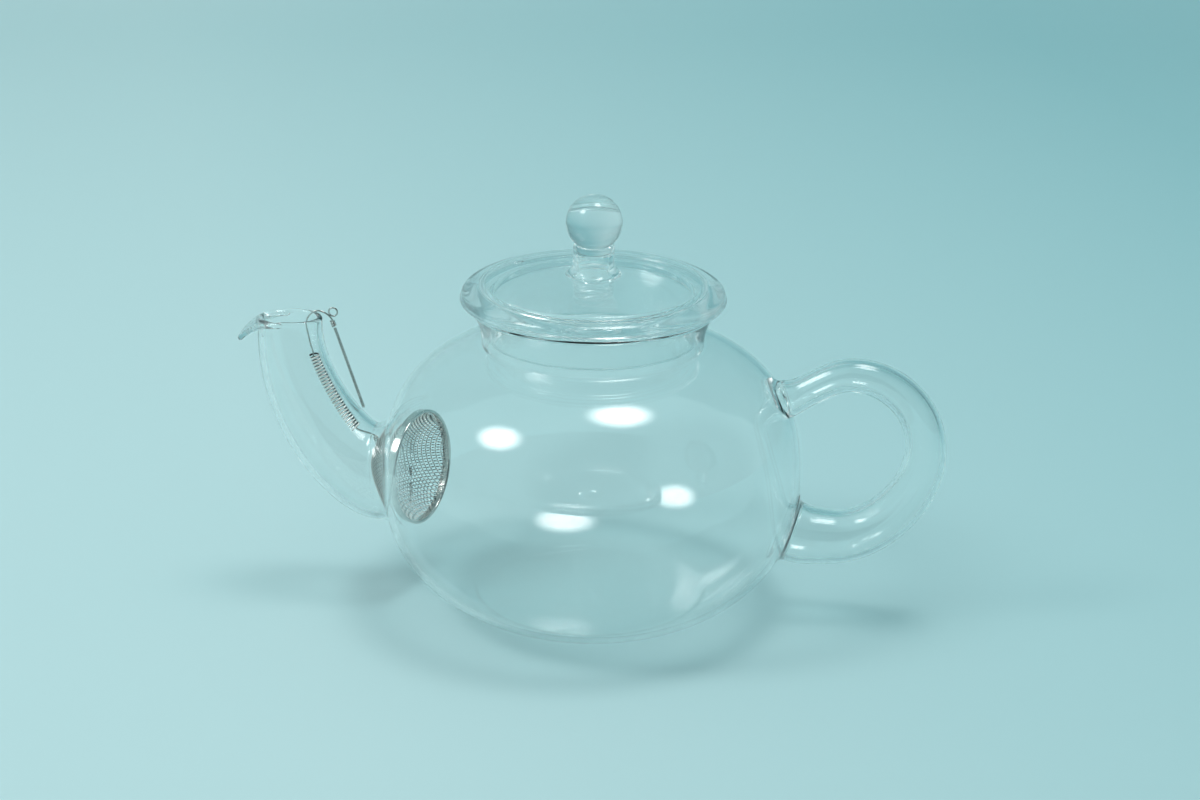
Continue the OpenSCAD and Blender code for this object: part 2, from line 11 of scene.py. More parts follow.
import bmesh
import bpy
from mathutils import Matrix, Vector


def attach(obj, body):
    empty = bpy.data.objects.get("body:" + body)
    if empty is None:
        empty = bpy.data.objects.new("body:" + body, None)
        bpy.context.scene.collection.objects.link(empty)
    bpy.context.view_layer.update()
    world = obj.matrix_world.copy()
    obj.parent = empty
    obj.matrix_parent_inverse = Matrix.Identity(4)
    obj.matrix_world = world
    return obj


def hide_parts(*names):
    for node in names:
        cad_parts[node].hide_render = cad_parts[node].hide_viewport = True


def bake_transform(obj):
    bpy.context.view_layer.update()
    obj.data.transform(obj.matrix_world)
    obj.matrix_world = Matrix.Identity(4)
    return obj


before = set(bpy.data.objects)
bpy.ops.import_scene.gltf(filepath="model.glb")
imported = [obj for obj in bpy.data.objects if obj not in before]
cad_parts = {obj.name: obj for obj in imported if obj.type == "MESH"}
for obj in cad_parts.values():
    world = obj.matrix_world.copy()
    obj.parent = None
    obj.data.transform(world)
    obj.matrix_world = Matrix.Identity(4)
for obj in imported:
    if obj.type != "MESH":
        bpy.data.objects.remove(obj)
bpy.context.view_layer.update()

MM = 0.001

# %% [markdown]
# ## Helpers
# Nearly everything below is either a mesh made from a rule or a tree of nodes. The first two functions put data
# into the scene as an object, and make a mesh object from points and faces. The next three add a node and fill its
# inputs with values or links. The last two start a material, and a group of nodes with named inputs of its own.

# %% Helpers for meshes and nodes
FLOAT, INT, COLOUR = "NodeSocketFloat", "NodeSocketInt", "NodeSocketColor"
MATERIAL, GEOMETRY = "NodeSocketMaterial", "NodeSocketGeometry"


def put(name, data):
    """An object with this data, in the scene."""
    made = bpy.data.objects.new(name, data)
    bpy.context.scene.collection.objects.link(made)
    return made


def new_mesh(name, points, faces):
    """A smooth mesh object at the origin from points in metres."""
    mesh = bpy.data.meshes.new(name)
    mesh.from_pydata(points, [], faces)
    mesh.update()
    mesh.shade_smooth()
    return put(name, mesh)


def add_node(tree, kind, inputs=(), **settings):
    """A new node. Settings come first, because some of them decide which inputs there are."""
    node = tree.nodes.new(kind)
    for key, value in settings.items():
        setattr(node, key, value)
    for key, value in dict(inputs).items():
        if isinstance(value, bpy.types.NodeSocket):
            tree.links.new(value, node.inputs[key])
        else:
            node.inputs[key].default_value = value
    return node


def number(tree, operation, a, b=None):
    """A number worked out from one or two others."""
    inputs = {0: a} if b is None else {0: a, 1: b}
    return add_node(tree, "ShaderNodeMath", inputs, operation=operation).outputs[0]


def vector(tree, operation, a, b=None):
    """The same for vectors, but SCALE takes a number as b, and two of the operations give one."""
    inputs = {0: a} if b is None else {0: a, 3 if operation == "SCALE" else 1: b}
    node = add_node(tree, "ShaderNodeVectorMath", inputs, operation=operation)
    return node.outputs["Value" if operation in ("DOT_PRODUCT", "LENGTH") else "Vector"]


def new_material(name, values):
    """A material, its node tree and its main shader, which gets the values."""
    material = bpy.data.materials.new(name)
    material.use_nodes = True
    shader = material.node_tree.nodes["Principled BSDF"]
    for key, value in values.items():
        shader.inputs[key].default_value = value
    return material, material.node_tree, shader


def node_group(kind, name, inputs, outputs):
    """A node group with named inputs and outputs, and its two end nodes."""
    group = bpy.data.node_groups.new(name, kind)
    for label, socket, value in inputs:
        made = group.interface.new_socket(label, in_out="INPUT", socket_type=socket)
        if value is not None:
            made.default_value = value
    for label, socket in outputs:
        group.interface.new_socket(label, in_out="OUTPUT", socket_type=socket)
    return group, group.nodes.new("NodeGroupInput"), group.nodes.new("NodeGroupOutput")


print("helpers for objects, nodes, materials and groups")

# %% [markdown]
# ## The camera
# The pot is seen from a little above and almost square to its spout and handle, through a long lens.
# A long lens keeps the bowl's ellipses flat, and a small roll of the camera follows the tilt of the table.

# %% Camera
CAMERA_TURN = math.radians(7)
CAMERA_PLACE = (0, -0.8899, 0.4009)
LENS_PIXELS, FRAME_WIDTH, SENSOR, CLIP_END = 2751.8, 1200, 36, 20
PAN, PITCH, ROLL = 0.003, 0.352, 0.0123


def from_view(v):
    """A vector with x to the right and y away from the camera, in the pot's frame."""
    c, s = math.cos(CAMERA_TURN), math.sin(CAMERA_TURN)
    return Vector((v[0] * c - v[1] * s, v[0] * s + v[1] * c, v[2]))


forward = Vector((math.sin(PAN) * math.cos(PITCH), math.cos(PAN) * math.cos(PITCH), -math.sin(PITCH)))
level = Vector((math.cos(PAN), -math.sin(PAN), 0))
raised = level.cross(forward)
right = math.cos(ROLL) * level + math.sin(ROLL) * raised
upward = math.cos(ROLL) * raised - math.sin(ROLL) * level
camera = put("camera", bpy.data.cameras.new("camera"))
axes = Matrix([from_view(right), from_view(upward), -from_view(forward)]).transposed().to_4x4()
camera.matrix_world = Matrix.Translation(from_view(CAMERA_PLACE)) @ axes
camera.data.sensor_width = SENSOR
camera.data.lens = SENSOR * LENS_PIXELS / FRAME_WIDTH
camera.data.clip_end = CLIP_END
bpy.context.scene.camera = camera
print("lens in mm:", round(camera.data.lens, 1))

# %% [markdown]
# ## Room, floor and lamps
# Clear glass has no colour of its own, so the room is what paints it. A pale blue-green sheet runs along the table
# and up behind. Two soft boxes, one high on the left and one almost overhead, give the paired glints on the glass.
# The sheet lies a hair below the pot's base, because two faces in one plane would flicker into each other.

# %% Floor and backdrop
# The two paper colours are painted light: the near one lighter and the far one darker, where the lamps fall off.
FLOOR_NEAR_LIT, FLOOR_FAR_SHADED = (0.485, 0.725, 0.745, 1), (0.310, 0.595, 0.630, 1)
FLOOR_START, BEND_START, BEND, WALL_TOP, AIR = -2.2, 0.9, 0.6, 3, 0.00005

bend = [math.radians(3 * i) for i in range(31)]
sweep = [(FLOOR_START, 0)] + [(BEND_START + BEND * math.sin(a), BEND - BEND * math.cos(a)) for a in bend]
sweep += [(BEND_START + BEND, WALL_TOP)]
sheet = [tuple(from_view((x, y, z - AIR))) for x in (-3, 3) for y, z in sweep]
strips = [(i, i + len(sweep), i + len(sweep) + 1, i + 1) for i in range(len(sweep) - 1)]
backdrop = new_mesh("backdrop", sheet, strips)
paper, tree, shader = new_material("pale_paper", {"Roughness": 0.75, "Specular IOR Level": 0.2})
coords = add_node(tree, "ShaderNodeTexCoord")
# Painted shade: the paper's colour darkens towards the right and the back.
depth = vector(tree, "DOT_PRODUCT", coords.outputs["Object"], from_view((0.95, 0.2, 0)))
fade = add_node(tree, "ShaderNodeMapRange", {"Value": depth, "From Min": -0.1, "From Max": 0.45})
painted_shade_tone = add_node(tree, "ShaderNodeMix", {"Factor": fade.outputs[0], "A": FLOOR_NEAR_LIT, "B": FLOOR_FAR_SHADED},
                data_type="RGBA")
tree.links.new(painted_shade_tone.outputs["Result"], shader.inputs["Base Color"])
backdrop.data.materials.append(paper)
print("backdrop points:", len(backdrop.data.vertices))

# %% [markdown]
# ### What the glass and the steel look out at
# A ray that has been mirrored or bent sees a pale blue-green room with one dark side, in front and to the right.
# The dark side draws the lines at the rims of the glass. Light that falls on matt things stays neutral.

# %% World
ROOM_STRENGTH, ROOM_WALL, DARK_WALL = 0.47, (0.46, 0.70, 0.72, 1), (0.03, 0.045, 0.05, 1)
DARK_SIDE = from_view((0.55, -0.80, 0.20)).normalized()

world = bpy.data.worlds.new("studio")
bpy.context.scene.world = world
world.use_nodes = True
tree = world.node_tree
room = tree.nodes["Background"]
room.inputs["Color"].default_value = (1, 1, 1, 1)
room.inputs["Strength"].default_value = ROOM_STRENGTH
coords = add_node(tree, "ShaderNodeTexCoord")
path = add_node(tree, "ShaderNodeLightPath")
facing = vector(tree, "DOT_PRODUCT", coords.outputs["Generated"], DARK_SIDE)
side = add_node(tree, "ShaderNodeMapRange", {"Value": facing, "From Min": 0.2, "From Max": 0.6},
                interpolation_type="SMOOTHSTEP")
turned = number(tree, "MAXIMUM", path.outputs["Is Glossy Ray"], path.outputs["Is Transmission Ray"])
looked = number(tree, "MAXIMUM", turned, path.outputs["Is Camera Ray"])
in_dark = number(tree, "MULTIPLY", side.outputs[0], turned)
walls = add_node(tree, "ShaderNodeMix", {"Factor": in_dark, "A": ROOM_WALL, "B": DARK_WALL}, data_type="RGBA")
seen = add_node(tree, "ShaderNodeBackground", {"Color": walls.outputs["Result"]})
pick = add_node(tree, "ShaderNodeMixShader", {0: looked, 1: room.outputs[0], 2: seen.outputs[0]})
tree.links.new(pick.outputs[0], tree.nodes["World Output"].inputs["Surface"])
print("world nodes:", len(tree.nodes))

# %% [markdown]
# ### Lamps and light paths
# A lamp that fades towards its edge gives a soft glint instead of a hard disc. A ray in a thick glass edge bounces
# many times before it gets out, and one that is cut off stays black, so the limits on bounces are high.

# %% Lamps
AIM = Vector((0, 0, 0.06))
LAMP_DISTANCE, LAMP_SIZE, LAMP_POWER = 2.0, 1.0, 14


def softbox(name, direction):
    """A round soft box that looks at the pot's middle and fades towards its edge."""
    lamp = bpy.data.lights.new(name, "AREA")
    lamp.shape, lamp.size, lamp.energy, lamp.use_nodes = "DISK", LAMP_SIZE, LAMP_POWER, True
    tree = lamp.node_tree
    spot = add_node(tree, "ShaderNodeNewGeometry")
    radius = vector(tree, "LENGTH", vector(tree, "SUBTRACT", spot.outputs["Parametric"], (0.5, 0.5, 0)))
    fade = add_node(tree, "ShaderNodeMapRange",
                    {"Value": radius, "From Min": 0.5, "From Max": 0.12, "To Min": 0, "To Max": 2.2},
                    interpolation_type="SMOOTHSTEP")
    tree.links.new(fade.outputs[0], tree.nodes["Emission"].inputs["Strength"])
    place = from_view(direction).normalized() * LAMP_DISTANCE + AIM
    turn = (AIM - place).to_track_quat("-Z", "Y").to_matrix().to_4x4()
    put(name, lamp).matrix_world = Matrix.Translation(place) @ turn


softbox("left_softbox", (-0.605, -0.19, 0.669))
softbox("top_softbox", (0.165, 0.035, 0.970))
bpy.context.scene.view_settings.view_transform = "Standard"
limits = bpy.context.scene.cycles
limits.max_bounces, limits.transmission_bounces = 160, 128
limits.glossy_bounces, limits.transparent_max_bounces = 64, 64
print("lamps:", len(bpy.data.lights))

# %% [markdown]
# ## Finishes
# Blown glass is smooth but never perfectly even: faint cords and waves run through it. The glass shader is a plain
# clear one, bent by a very weak wave on its normal. For shadow rays and for light off matt things it lets light
# through, because the path from a lamp through two curved walls is too rare to find, and real clear glass throws
# only a pale shadow that darkens where the wall is seen edge on.

# %% Shared surface groups
waves, w_in, w_out = node_group("ShaderNodeTree", "glass_waves",
                                [("Scale", FLOAT, 30.0), ("Stretch", FLOAT, 3.0)], [("Height", FLOAT)])
coords = add_node(waves, "ShaderNodeTexCoord")
stretched = add_node(waves, "ShaderNodeCombineXYZ", {0: 1, 1: 1, 2: w_in.outputs["Stretch"]})
spread = vector(waves, "MULTIPLY", coords.outputs["Object"], stretched.outputs[0])
swirl = add_node(waves, "ShaderNodeTexNoise", {"Vector": spread, "Scale": w_in.outputs["Scale"], "Detail": 2})
waves.links.new(swirl.outputs["Fac"], w_out.inputs["Height"])

drawn, d_in, d_out = node_group("ShaderNodeTree", "drawn_wire", [
    ("Scale", FLOAT, 900.0), ("Low", FLOAT, 0.16), ("High", FLOAT, 0.34), ("Dark", FLOAT, 0.42),
    ("Light", FLOAT, 0.66)], [("Color", COLOUR), ("Roughness", FLOAT), ("Height", FLOAT)])
coords = add_node(drawn, "ShaderNodeTexCoord")
grain = add_node(drawn, "ShaderNodeTexNoise",
                 {"Vector": coords.outputs["Object"], "Scale": d_in.outputs["Scale"], "Detail": 4})
rough, grey = [add_node(drawn, "ShaderNodeMapRange", {"Value": grain.outputs["Fac"], "To Min": d_in.outputs[low],
                                                      "To Max": d_in.outputs[high]})
               for low, high in (("Low", "High"), ("Dark", "Light"))]
warm = number(drawn, "MULTIPLY", grey.outputs[0], 0.965)
tint = add_node(drawn, "ShaderNodeCombineColor", {0: grey.outputs[0], 1: grey.outputs[0], 2: warm})
for made, out in ((rough.outputs[0], "Roughness"), (tint.outputs[0], "Color"),
                  (grain.outputs["Fac"], "Height")):
    drawn.links.new(made, d_out.inputs[out])
print("groups:", [g.name for g in bpy.data.node_groups])

# %% Glass
def place_group(material, group, values):
    """A group node in a material with its own values."""
    return add_node(material.node_tree, "ShaderNodeGroup", values, node_tree=group)


def bump_from(material, node, strength, distance):
    tree = material.node_tree
    bump = add_node(tree, "ShaderNodeBump",
                    {"Strength": strength, "Distance": distance, "Height": node.outputs["Height"]})
    tree.links.new(bump.outputs["Normal"], tree.nodes["Principled BSDF"].inputs["Normal"])


def clear_glass(name, wave_scale, stretch, strength):
    material, tree, shader = new_material(name, {
        "Base Color": (0.985, 0.997, 0.995, 1), "Roughness": 0.0, "IOR": 1.47, "Transmission Weight": 1})
    bump_from(material, place_group(material, waves, {"Scale": wave_scale, "Stretch": stretch}), strength, 0.001)
    path = add_node(tree, "ShaderNodeLightPath")
    edge = add_node(tree, "ShaderNodeLayerWeight", {"Blend": 0.35})
    rims = number(tree, "POWER", edge.outputs["Facing"], 1.8)
    shade = add_node(tree, "ShaderNodeMix",
                     {"Factor": rims, "A": (0.98, 0.99, 0.99, 1), "B": (0.12, 0.26, 0.28, 1)}, data_type="RGBA")
    thin = add_node(tree, "ShaderNodeBsdfTransparent", {"Color": shade.outputs["Result"]})
    unseen = number(tree, "MAXIMUM", path.outputs["Is Shadow Ray"], path.outputs["Is Diffuse Ray"])
    mix = add_node(tree, "ShaderNodeMixShader", {0: unseen, 1: shader.outputs[0], 2: thin.outputs[0]})
    tree.links.new(mix.outputs[0], tree.nodes["Material Output"].inputs["Surface"])
    return material


pot_glass = clear_glass("pot_glass_clear", 22, 2.5, 0.05)
lid_glass = clear_glass("lid_glass_clear", 34, 1.5, 0.04)
print("glass:", pot_glass.name, lid_glass.name)

# %% Steel
def bare_steel(name, scale, rough, grey, strength):
    """Drawn steel: rough and grey are the least and the most roughness and brightness."""
    material, tree, shader = new_material(name, {"Metallic": 1})
    node = place_group(material, drawn, {"Scale": scale, "Low": rough[0], "High": rough[1],
                                         "Dark": grey[0], "Light": grey[1]})
    tree.links.new(node.outputs["Color"], shader.inputs["Base Color"])
    tree.links.new(node.outputs["Roughness"], shader.inputs["Roughness"])
    bump_from(material, node, strength, 0.0001)
    return material


def paint_inner_shade(material):
    """Painted shade: darkens the steel's colour to near black where wire sees only wire. The coil's and the weave's
    trees store how open each point is.
    """
    tree = material.node_tree
    base = tree.nodes["Principled BSDF"].inputs["Base Color"]
    outward = add_node(tree, "ShaderNodeAttribute", attribute_name="outward")
    span = add_node(tree, "ShaderNodeMapRange",
                    {"Value": outward.outputs["Fac"], "From Min": 0.25, "From Max": 0.8})
    painted_shade_tone = add_node(tree, "ShaderNodeMix", {"Factor": span.outputs[0], "A": (0.02, 0.02, 0.02, 1),
                                            "B": base.links[0].from_socket}, data_type="RGBA")
    tree.links.new(painted_shade_tone.outputs["Result"], base)
    return material


# The weave and the spring get painted shade between their wires.
weave_steel = paint_inner_shade(bare_steel("weave_steel", 1400, (0.34, 0.48), (0.88, 0.99), 0.05))
rim_steel = bare_steel("rim_steel", 700, (0.05, 0.14), (0.58, 0.74), 0.03)
wire_steel = bare_steel("wire_steel", 1100, (0.08, 0.18), (0.44, 0.66), 0.04)
spring_steel = paint_inner_shade(bare_steel("spring_steel", 1100, (0.32, 0.44), (0.84, 0.98), 0.04))
print("materials:", len(bpy.data.materials))

# %% [markdown]
# ## The pot's glass
# The bowl, the spout and the handle are one piece of glass on the real pot, melted together at their roots.
# Solids that only touch would show a false mirror where they meet, so their walls are rebuilt here from the same
# curves, joined with booleans, and given far more points than the plain model needs.

# %% Curves of the bowl
BOWL_R, BELLY_Z, BASE_R, BASE_T, WALL = 72.5, 46.4, 39.0, 2.6, 2.0
NECK_R, NECK_Z, MOUTH_R, MOUTH_H = 38.1, 95.5, 43.0, 13.6
LOWER, UPPER = 2.28, 2.64
lower_h = BELLY_Z / (1 - (BASE_R / BOWL_R) ** LOWER) ** (1 / LOWER)
upper_h = (NECK_Z - BELLY_Z) / (1 - (NECK_R / BOWL_R) ** UPPER) ** (1 / UPPER)
mouth_z = NECK_Z + MOUTH_H


def bowl_radius(z, inset=0.0):
    h, p = (lower_h, LOWER) if z < BELLY_Z else (upper_h, UPPER)
    return (BOWL_R - inset) * (1 - min(1, abs(z - BELLY_Z) / (h - inset)) ** p) ** (1 / p)


def bowl_outline(inset, z_low, lip, steps=64, flare_steps=16, flare=2.2):
    """Radius and height from the base's middle to the mouth."""
    neck_turn = (1 - ((NECK_R - inset) / (BOWL_R - inset)) ** UPPER) ** (1 / UPPER)
    z_high = BELLY_Z + (upper_h - inset) * neck_turn if inset else NECK_Z
    low = math.asin((BELLY_Z - z_low) / (lower_h - inset))
    high = math.asin((z_high - BELLY_Z) / (upper_h - inset))
    outline = [(0, z_low)]
    for i in range(steps + 1):
        a = -low + (low + high) * i / steps
        z = BELLY_Z + math.sin(a) * ((lower_h if a < 0 else upper_h) - inset)
        outline.append((bowl_radius(z, inset), z))
    if inset:
        outline.append((NECK_R - inset, NECK_Z))
    shares = [i / flare_steps for i in range(1, flare_steps + 1)]
    outline += [(NECK_R - inset + (MOUTH_R - NECK_R) * s ** flare, NECK_Z + MOUTH_H * s) for s in shares]
    return outline + lip


rolled_lip = [(MOUTH_R - WALL / 2 * (1 - math.cos(a)), mouth_z + WALL / 2 * math.sin(a))
              for a in [math.radians(15 * i) for i in range(1, 12)]] + [(MOUTH_R - WALL, mouth_z), (0, mouth_z)]
open_mouth = [(MOUTH_R - WALL, mouth_z + WALL), (0, mouth_z + WALL)]
print("bowl height in mm:", round(mouth_z + WALL / 2, 1))

# %% [markdown]
# ### Turning and joining
# Glass refracts wrongly when a face points the wrong way or a seam is open. So every solid is closed, its doubles
# are merged and its faces are turned outwards before it takes part in a boolean.

# %% Revolved solids and booleans
def close_up(piece):
    """Merges doubles and turns all faces outwards."""
    bm = bmesh.new()
    bm.from_mesh(piece.data)
    bmesh.ops.remove_doubles(bm, verts=bm.verts, dist=1e-7)
    bmesh.ops.recalc_face_normals(bm, faces=bm.faces)
    if bm.calc_volume(signed=True) < 0:
        bmesh.ops.reverse_faces(bm, faces=bm.faces)
    bm.to_mesh(piece.data)
    bm.free()
    return piece


def on_ring(r, k, sides, z):
    turn = 2 * math.pi * k / sides
    return Vector((r * math.cos(turn), r * math.sin(turn), z))


def revolve(name, outline, sides=160, placed=Matrix.Identity(4)):
    """A closed solid turned about Z from points [radius, height] in mm, then put in place by a matrix in mm."""
    points, rings, faces = [], [], []
    for r, z in outline:
        count = 1 if r < 1e-6 else sides
        rings.append([len(points) + k for k in range(count)])
        points += [tuple(placed @ on_ring(r, k, sides, z) * MM) for k in range(count)]
    open_axis = outline[0][0] > 1e-6
    for a, b in list(zip(rings, rings[1:])) + ([(rings[-1], rings[0])] if open_axis else []):
        if len(a) == len(b) == 1:
            continue
        for k in range(sides):
            corners = [a[k % len(a)], a[(k + 1) % len(a)], b[(k + 1) % len(b)], b[k % len(b)]]
            faces.append(list(dict.fromkeys(corners)))
    return close_up(new_mesh(name, points, faces))


def plain_copy(piece):
    """The mesh that a piece's modifiers make; the modifiers are then taken off."""
    bpy.context.view_layer.update()
    made = bpy.data.meshes.new_from_object(piece.evaluated_get(bpy.context.evaluated_depsgraph_get()))
    piece.modifiers.clear()
    piece.data = made
    return made


def combine(piece, other, operation):
    """piece with other added or taken away, as a plain mesh; other is used up."""
    step = piece.modifiers.new("combine", "BOOLEAN")
    step.object, step.operation, step.solver = other, operation, "MANIFOLD"
    if len(plain_copy(piece).polygons) == 0:
        raise RuntimeError(f"{piece.name}: the boolean with {other.name} left nothing")
    bpy.data.objects.remove(other)


def triangles(piece):
    return sum(len(p.vertices) - 2 for p in piece.data.polygons)


print("solids are turned, closed and joined by rule")

# %% [markdown]
# ### Where the spout leaves the bowl
# A glass blower melts the spout on, and the glass flows into a small round fillet. The fillet is a funnel turned
# about the root's own axis, which droops a few degrees, once for the outside and once, a wall thickness in, for
# the inside.

# %% Bowl with the spout's root
ROOT_R, FILLET, DROOP, SPOUT_Z, BOWL_SIDES, ROOT_SIDES = 17.0, 6.0, math.radians(4.5), 43.4, 192, 112
fillet_r = ROOT_R + FILLET
fillet_s = math.sqrt((BOWL_R + FILLET) ** 2 - fillet_r ** 2)
seam_s = fillet_s + 0.4
root_dir = Vector((-math.cos(DROOP), -math.sin(DROOP)))
root_axis_z = SPOUT_Z + seam_s * math.sin(DROOP)
root_place = Matrix.Translation((0, 0, root_axis_z)) @ Matrix.Rotation(-math.pi / 2 - DROOP, 4, "Y")


def root_funnel(inset, steps=12, reach=5):
    r, end = FILLET + inset, math.radians(55)
    turns = [end * i / steps for i in range(steps + 1)]
    bent = [(fillet_r - r * math.cos(a), fillet_s - r * math.sin(a)) for a in turns]
    tail = (bent[-1][0] + reach * math.sin(end), bent[-1][1] - reach * math.cos(end))
    top = seam_s + (1 if inset else 0)
    outline = [(0, top), (ROOT_R - inset, top)] + bent + [tail, (0, tail[1])]
    return revolve("root_funnel", outline, ROOT_SIDES, root_place)


pot = revolve("pot_glass", bowl_outline(0, 0, rolled_lip), BOWL_SIDES)
combine(pot, root_funnel(0), "UNION")
combine(pot, revolve("bowl_hollow", bowl_outline(WALL, BASE_T, open_mouth), BOWL_SIDES), "DIFFERENCE")
combine(pot, root_funnel(WALL), "DIFFERENCE")
print("bowl triangles:", triangles(pot))

# %% [markdown]
# ### The spout
# Its outline runs between two guide curves, and its section goes from round at the root to oval at the mouth,
# where the front of the wall rolls out and down into a pouring lip. Rings of points are laid along that rule.

# %% Guide curves of the spout
REACH, TOP_Z, TIP_W, TIP_B = 105.5, 97.3, 22.4, 17.6
LIP_OUT, LIP_DROP, LIP_RISE, LIP_TURN = 7.6, 7.0, 0.9, math.radians(155)
OVAL_FROM, OVAL_OVER, NARROWING = 0.65, 0.35, 1.12


def bezier(p, t):
    return (1 - t) ** 3 * p[0] + 3 * (1 - t) ** 2 * t * p[1] + 3 * (1 - t) * t * t * p[2] + t ** 3 * p[3]


def bezier_dir(p, t):
    steps = (1 - t) ** 2 * (p[1] - p[0]) + 2 * (1 - t) * t * (p[2] - p[1]) + t * t * (p[3] - p[2])
    return steps.normalized()


root_up = Vector((root_dir[1], -root_dir[0]))
seam = Vector((0, root_axis_z)) + seam_s * root_dir
mouth, half_mouth = Vector((-REACH, TOP_Z)), Vector((TIP_W / 2, 0))
near_seam, far_seam = seam + ROOT_R * root_up, seam - ROOT_R * root_up
mouth_near, mouth_far = mouth + half_mouth, mouth - half_mouth
near_curve = [near_seam, near_seam + 2 * root_dir, mouth_near - Vector((1.1, 18.3)), mouth_near]
far_curve = [far_seam, far_seam + 16 * root_dir, mouth_far - Vector((3, 40.3)), mouth_far]
print("spout's mouth at in mm:", [round(v, 1) for v in mouth])

# %% Middle of the spout's wall
def spout_wall(t, lip, a):
    """t runs from the root to the mouth, lip on round the pouring edge, and a round the section."""
    near, far = bezier(near_curve, t), bezier(far_curve, t)
    c, d = (near + far) / 2, (far - near).normalized()
    w = (far - near).length / 2 - WALL / 2
    oval = (max(0, t - OVAL_FROM) / OVAL_OVER) ** 2
    round_b = ROOT_R + (TIP_W / 2 - ROOT_R) * t ** NARROWING
    b = round_b + (TIP_B / 2 - round_b) * oval - WALL / 2
    front = max(0, math.cos(a))
    end = Vector((LIP_OUT * front ** 0.9, LIP_RISE * (1 - front) - LIP_DROP * front ** 3))
    turned = LIP_TURN * front ** 0.8
    back_off = (0.3 + 3.4 * front) * Vector((math.sin(turned), math.cos(turned)))
    rolled = [Vector((0, 0)), Vector((0, 0.3 + 1.6 * front)), end - back_off, end]
    out, up = bezier(rolled, lip) if lip else (0, 0)
    return Vector((c[0] + w * math.cos(a) * d[0] - out, b * math.sin(a), c[1] + w * math.cos(a) * d[1] + up))


def spout_normal(t, lip, a, step=0.012, turn=0.03):
    onward = spout_wall(min(1, t + step), min(1, lip + step * (t >= 1)), a)
    backward = spout_wall(max(0, t - step * (lip <= 0)), max(0, lip - step), a)
    around = spout_wall(t, lip, a + turn) - spout_wall(t, lip, a - turn)
    return (onward - backward).cross(around).normalized()


print("lip's tip at in mm:", [round(v, 1) for v in spout_wall(1, 1, 0)])

# %% Spout as a closed shell
ROOT_GROW, ROOT_TRIM, ROOT_SINK = 0.06, 0.02, 0.25


def band(rows, sides, closed):
    """Quads between neighbouring rings of points."""
    count = rows if closed else rows - 1
    return [(i * sides + k, i * sides + (k + 1) % sides, (i + 1) % rows * sides + (k + 1) % sides,
             (i + 1) % rows * sides + k) for i in range(count) for k in range(sides)]


def spout_shell(sides=88, length_rings=64, lip_rings=20, edge_rings=6):
    """A closed loop of rings: up the outside, round the fire-polished edge and down the inside."""
    course = [(i / length_rings, 0) for i in range(length_rings + 1)]
    course += [(1, i / lip_rings) for i in range(1, lip_rings + 1)]
    angles = [-2 * math.pi * k / sides for k in range(sides)]
    half = WALL / 2
    back = Vector((-root_dir[0], 0, -root_dir[1])) * ROOT_SINK
    grid = [(spout_wall(t, l, a), spout_normal(t, l, a)) for t, l in course for a in angles]
    flat = [Vector((-math.cos(a) * root_dir[1], math.sin(a), math.cos(a) * root_dir[0])) for a in angles]
    outer = [c + half * n for c, n in grid]
    inner = [c - half * n for c, n in grid]
    for k in range(sides):
        outer[k] = grid[k][0] + (half + ROOT_GROW) * flat[k] + back
        inner[k] = grid[k][0] - (half + ROOT_TRIM) * flat[k] + back
    last = len(course) - 1
    edge = []
    for j in range(1, edge_rings):
        turn = math.pi * j / edge_rings
        for k in range(sides):
            c, n = grid[last * sides + k]
            onward = (c - grid[(last - 1) * sides + k][0]).normalized()
            edge.append(c + half * (math.cos(turn) * n + math.sin(turn) * onward))
    back_down = [p for i in range(last, -1, -1) for p in inner[i * sides:(i + 1) * sides]]
    points = [tuple(p * MM) for p in outer + edge + back_down]
    return close_up(new_mesh("spout_shell", points, band(len(points) // sides, sides, True)))


combine(pot, spout_shell(), "UNION")
print("with the spout:", triangles(pot), "triangles")

# %% [markdown]
# ### The handle
# A hollow tube is bent into a loop and welded to the bowl through two short flared collars.
# The hollow stays closed: looking through it, the bowl's wall shows as a ring inside the weld.

# %% Course of the handle
TOP_R, LOW_R, TUBE_T, COLLAR, FLARE, LAND = 5.4, 10.6, 1.8, 2.6, 2.6, 0.5
UPPER_WELD_Z, LOWER_WELD_Z, UPPER_TILT = 77.6, 29.8, math.radians(20)
COLLAR_STEPS, FINE = 11, 6


def at(x, z):
    return Vector((x, z))


def bowl_slope(z):
    h, p = (lower_h, LOWER) if z < BELLY_Z else (upper_h, UPPER)
    rise, run = (abs(z - BELLY_Z) / h) ** (p - 1) / h, (bowl_radius(z) / BOWL_R) ** (p - 1) / BOWL_R
    return (-1 if z < BELLY_Z else 1) * math.atan2(rise, run)


upper_dir = at(math.cos(UPPER_TILT), math.sin(UPPER_TILT))
lower_dir = at(math.cos(bowl_slope(LOWER_WELD_Z)), math.sin(bowl_slope(LOWER_WELD_Z)))
upper_seam = at(bowl_radius(UPPER_WELD_Z), UPPER_WELD_Z) + COLLAR * upper_dir
lower_seam = at(bowl_radius(LOWER_WELD_Z), LOWER_WELD_Z) + COLLAR * 0.6 * lower_dir
handle_curves = [[upper_seam, upper_seam + 7 * upper_dir, at(81.5, 88), at(89.5, 88)],
                 [at(89.5, 88), at(103.5, 88), at(114.9, 76.3), at(114.9, 62)],
                 [at(114.9, 62), at(114.9, 45), at(98.5, 28.4), at(84, 28.4)],
                 [at(84, 28.4), at(80, 28.4), lower_seam + 4 * lower_dir, lower_seam]]
spans = [5, 8, 9, 4]


def collar(seam_point, direction, radius, sign):
    """Rings that widen from the seam into the bowl's wall."""
    turns = [math.radians(10 * i) for i in range(1, 9)]
    steps = [(LAND, 0)] + [(LAND + FLARE * math.sin(a), FLARE * (1 - math.cos(a))) for a in turns]
    steps += [(8, FLARE), (13, FLARE)]
    return [(seam_point - sign * s * direction, direction, radius + w) for s, w in steps]


